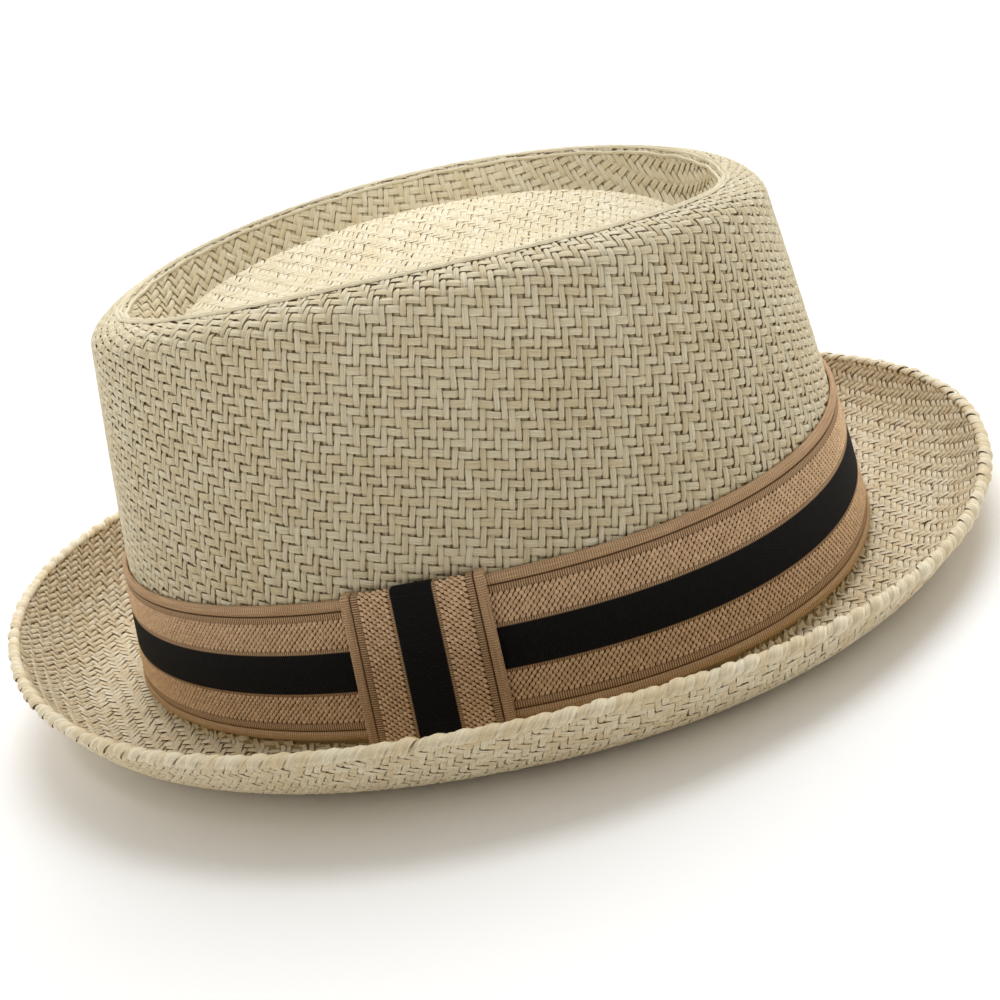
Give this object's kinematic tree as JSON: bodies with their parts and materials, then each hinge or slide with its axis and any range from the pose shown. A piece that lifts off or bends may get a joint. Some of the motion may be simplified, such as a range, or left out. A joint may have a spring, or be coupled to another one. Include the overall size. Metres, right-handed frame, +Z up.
{
  "type": "porkpie hat",
  "caption": "Porkpie hat of woven paper straw: tapered crown with a creased tip, short curled brim, striped elastic band with a keeper.",
  "frame": {"origin": "under the middle of the hat's box, on the surface that its brim rests on", "axes": "+Z up through the crown, -Y to the front of the hat, +X to the wearer's left, where the keeper is"},
  "size_m": [0.2254, 0.2644, 0.1023],
  "materials": {
    "straw_cloth": "matt paper straw in a twill weave",
    "band_webbing": "matt ribbed elastic webbing with one black stripe",
    "keeper_webbing": "the same webbing, turned upright"
  },
  "bodies": {
    "root": {"straw_body": "straw_cloth", "hat_band": "band_webbing", "band_keeper": "keeper_webbing"}
  },
  "joints": []
}
